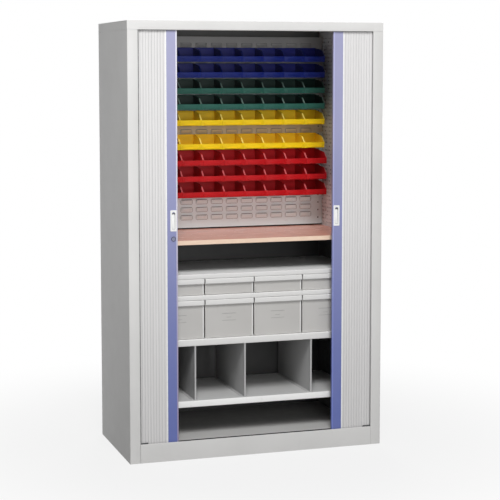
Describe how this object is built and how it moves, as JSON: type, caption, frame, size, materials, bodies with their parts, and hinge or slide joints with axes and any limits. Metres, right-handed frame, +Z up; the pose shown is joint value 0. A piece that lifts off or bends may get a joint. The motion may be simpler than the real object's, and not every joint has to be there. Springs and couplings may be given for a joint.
{
  "type": "workshop bin cabinet",
  "caption": "Tall steel workshop cupboard with side-rolling slat curtains, a louvre panel of hanging bins, a worktop, drawers and divided shelves.",
  "frame": {"origin": "middle of the base, on the floor", "axes": "+Z up, +X to the right along the front, front face towards -Y"},
  "size_m": [1.2, 0.58, 1.96],
  "materials": {
    "case_grey": "powder-coated steel",
    "shelf_grey": "powder-coated steel",
    "drawer_grey": "powder-coated steel",
    "louvre_grey": "powder-coated steel",
    "post_lavender": "satin powder-coated profile",
    "slat_white": "extruded rigid plastic",
    "track_plastic": "extruded plastic",
    "handle_white": "moulded plastic",
    "glide_plastic": "moulded plastic",
    "plywood": "sealed plywood with a pale edge",
    "zinc": "zinc plated",
    "lock_metal": "nickel plated",
    "bin_red": "moulded plastic",
    "bin_yellow": "moulded plastic",
    "bin_green": "moulded plastic",
    "bin_blue": "moulded plastic"
  },
  "bodies": {
    "case": {"left_side_panel": "case_grey", "right_side_panel": "case_grey", "top_panel": "case_grey", "bottom_rail": "case_grey", "base_plinth": "case_grey", "back_panel": "case_grey", "floor_panel": "case_grey", "left_inner_wall": "case_grey", "right_inner_wall": "case_grey", "upper_track": "track_plastic", "lower_track": "track_plastic", "left_side_tracks": "track_plastic", "right_side_tracks": "track_plastic", "worktop": "plywood", "worktop_angles": "case_grey", "short_drawer_shelf": "shelf_grey", "tall_drawer_shelf": "shelf_grey", "middle_shelf": "shelf_grey", "lower_shelf": "shelf_grey", "shelf_clips": "zinc", "divider_left": "case_grey", "divider_middle": "case_grey", "divider_right": "case_grey", "short_drawer_runners": "zinc", "tall_drawer_runners": "zinc", "louvre_panel": "louvre_grey", "red_bins_1": "bin_red", "red_bins_2": "bin_red", "red_bins_3": "bin_red", "yellow_bins_1": "bin_yellow", "yellow_bins_2": "bin_yellow", "green_bins_1": "bin_green", "green_bins_2": "bin_green", "blue_bins_1": "bin_blue", "blue_bins_2": "bin_blue", "left_bend_slats": "slat_white", "right_bend_slats": "slat_white"},
    "left_door": {"left_post": "post_lavender", "left_front_slats": "slat_white", "left_glides": "glide_plastic", "left_handle": "handle_white", "lock_rosette": "lock_metal"},
    "right_door": {"right_post": "post_lavender", "right_front_slats": "slat_white", "right_glides": "glide_plastic", "right_handle": "handle_white", "strike_plate": "zinc"},
    "left_tail": {"left_tail_slats": "slat_white"},
    "right_tail": {"right_tail_slats": "slat_white"},
    "lock": {"lock_barrel": "lock_metal", "lock_hook": "zinc"},
    "short_drawer_1": {"short_drawer_1": "drawer_grey"},
    "short_drawer_2": {"short_drawer_2": "drawer_grey"},
    "short_drawer_3": {"short_drawer_3": "drawer_grey"},
    "short_drawer_4": {"short_drawer_4": "drawer_grey"},
    "tall_drawer_1": {"tall_drawer_1": "drawer_grey"},
    "tall_drawer_2": {"tall_drawer_2": "drawer_grey"},
    "tall_drawer_3": {"tall_drawer_3": "drawer_grey"},
    "tall_drawer_4": {"tall_drawer_4": "drawer_grey"}
  },
  "joints": [
    {"name": "left_door_slide", "type": "slide", "parent": "case", "child": "left_door", "axis": [-1, 0, 0], "range_m": [-0.373, 0], "deforming": ["left_bend_slats"]},
    {"name": "right_door_slide", "type": "slide", "parent": "case", "child": "right_door", "axis": [1, 0, 0], "range_m": [-0.36, 0], "deforming": ["right_bend_slats"]},
    {"name": "left_tail_slide", "type": "slide", "parent": "case", "child": "left_tail", "axis": [0, 1, 0], "range_m": [-0.373, 0]},
    {"name": "right_tail_slide", "type": "slide", "parent": "case", "child": "right_tail", "axis": [0, 1, 0], "range_m": [-0.36, 0]},
    {"name": "lock_turn", "type": "hinge", "parent": "left_door", "child": "lock", "pos_m": [-0.393, -0.275, 1], "axis": [0, -1, 0], "range_deg": [0, 90]},
    {"name": "short_drawer_1_slide", "type": "slide", "parent": "case", "child": "short_drawer_1", "axis": [0, -1, 0], "range_m": [0, 0.033]},
    {"name": "short_drawer_2_slide", "type": "slide", "parent": "case", "child": "short_drawer_2", "axis": [0, -1, 0], "range_m": [0, 0.38]},
    {"name": "short_drawer_3_slide", "type": "slide", "parent": "case", "child": "short_drawer_3", "axis": [0, -1, 0], "range_m": [0, 0.38]},
    {"name": "short_drawer_4_slide", "type": "slide", "parent": "case", "child": "short_drawer_4", "axis": [0, -1, 0], "range_m": [0, 0.033]},
    {"name": "tall_drawer_1_slide", "type": "slide", "parent": "case", "child": "tall_drawer_1", "axis": [0, -1, 0], "range_m": [0, 0.033]},
    {"name": "tall_drawer_2_slide", "type": "slide", "parent": "case", "child": "tall_drawer_2", "axis": [0, -1, 0], "range_m": [0, 0.38]},
    {"name": "tall_drawer_3_slide", "type": "slide", "parent": "case", "child": "tall_drawer_3", "axis": [0, -1, 0], "range_m": [0, 0.38]},
    {"name": "tall_drawer_4_slide", "type": "slide", "parent": "case", "child": "tall_drawer_4", "axis": [0, -1, 0], "range_m": [0, 0.033]}
  ],
  "couplings": [
    {"joint": "left_tail_slide", "follows": "left_door_slide", "ratio": 1},
    {"joint": "right_tail_slide", "follows": "right_door_slide", "ratio": 1}
  ]
}
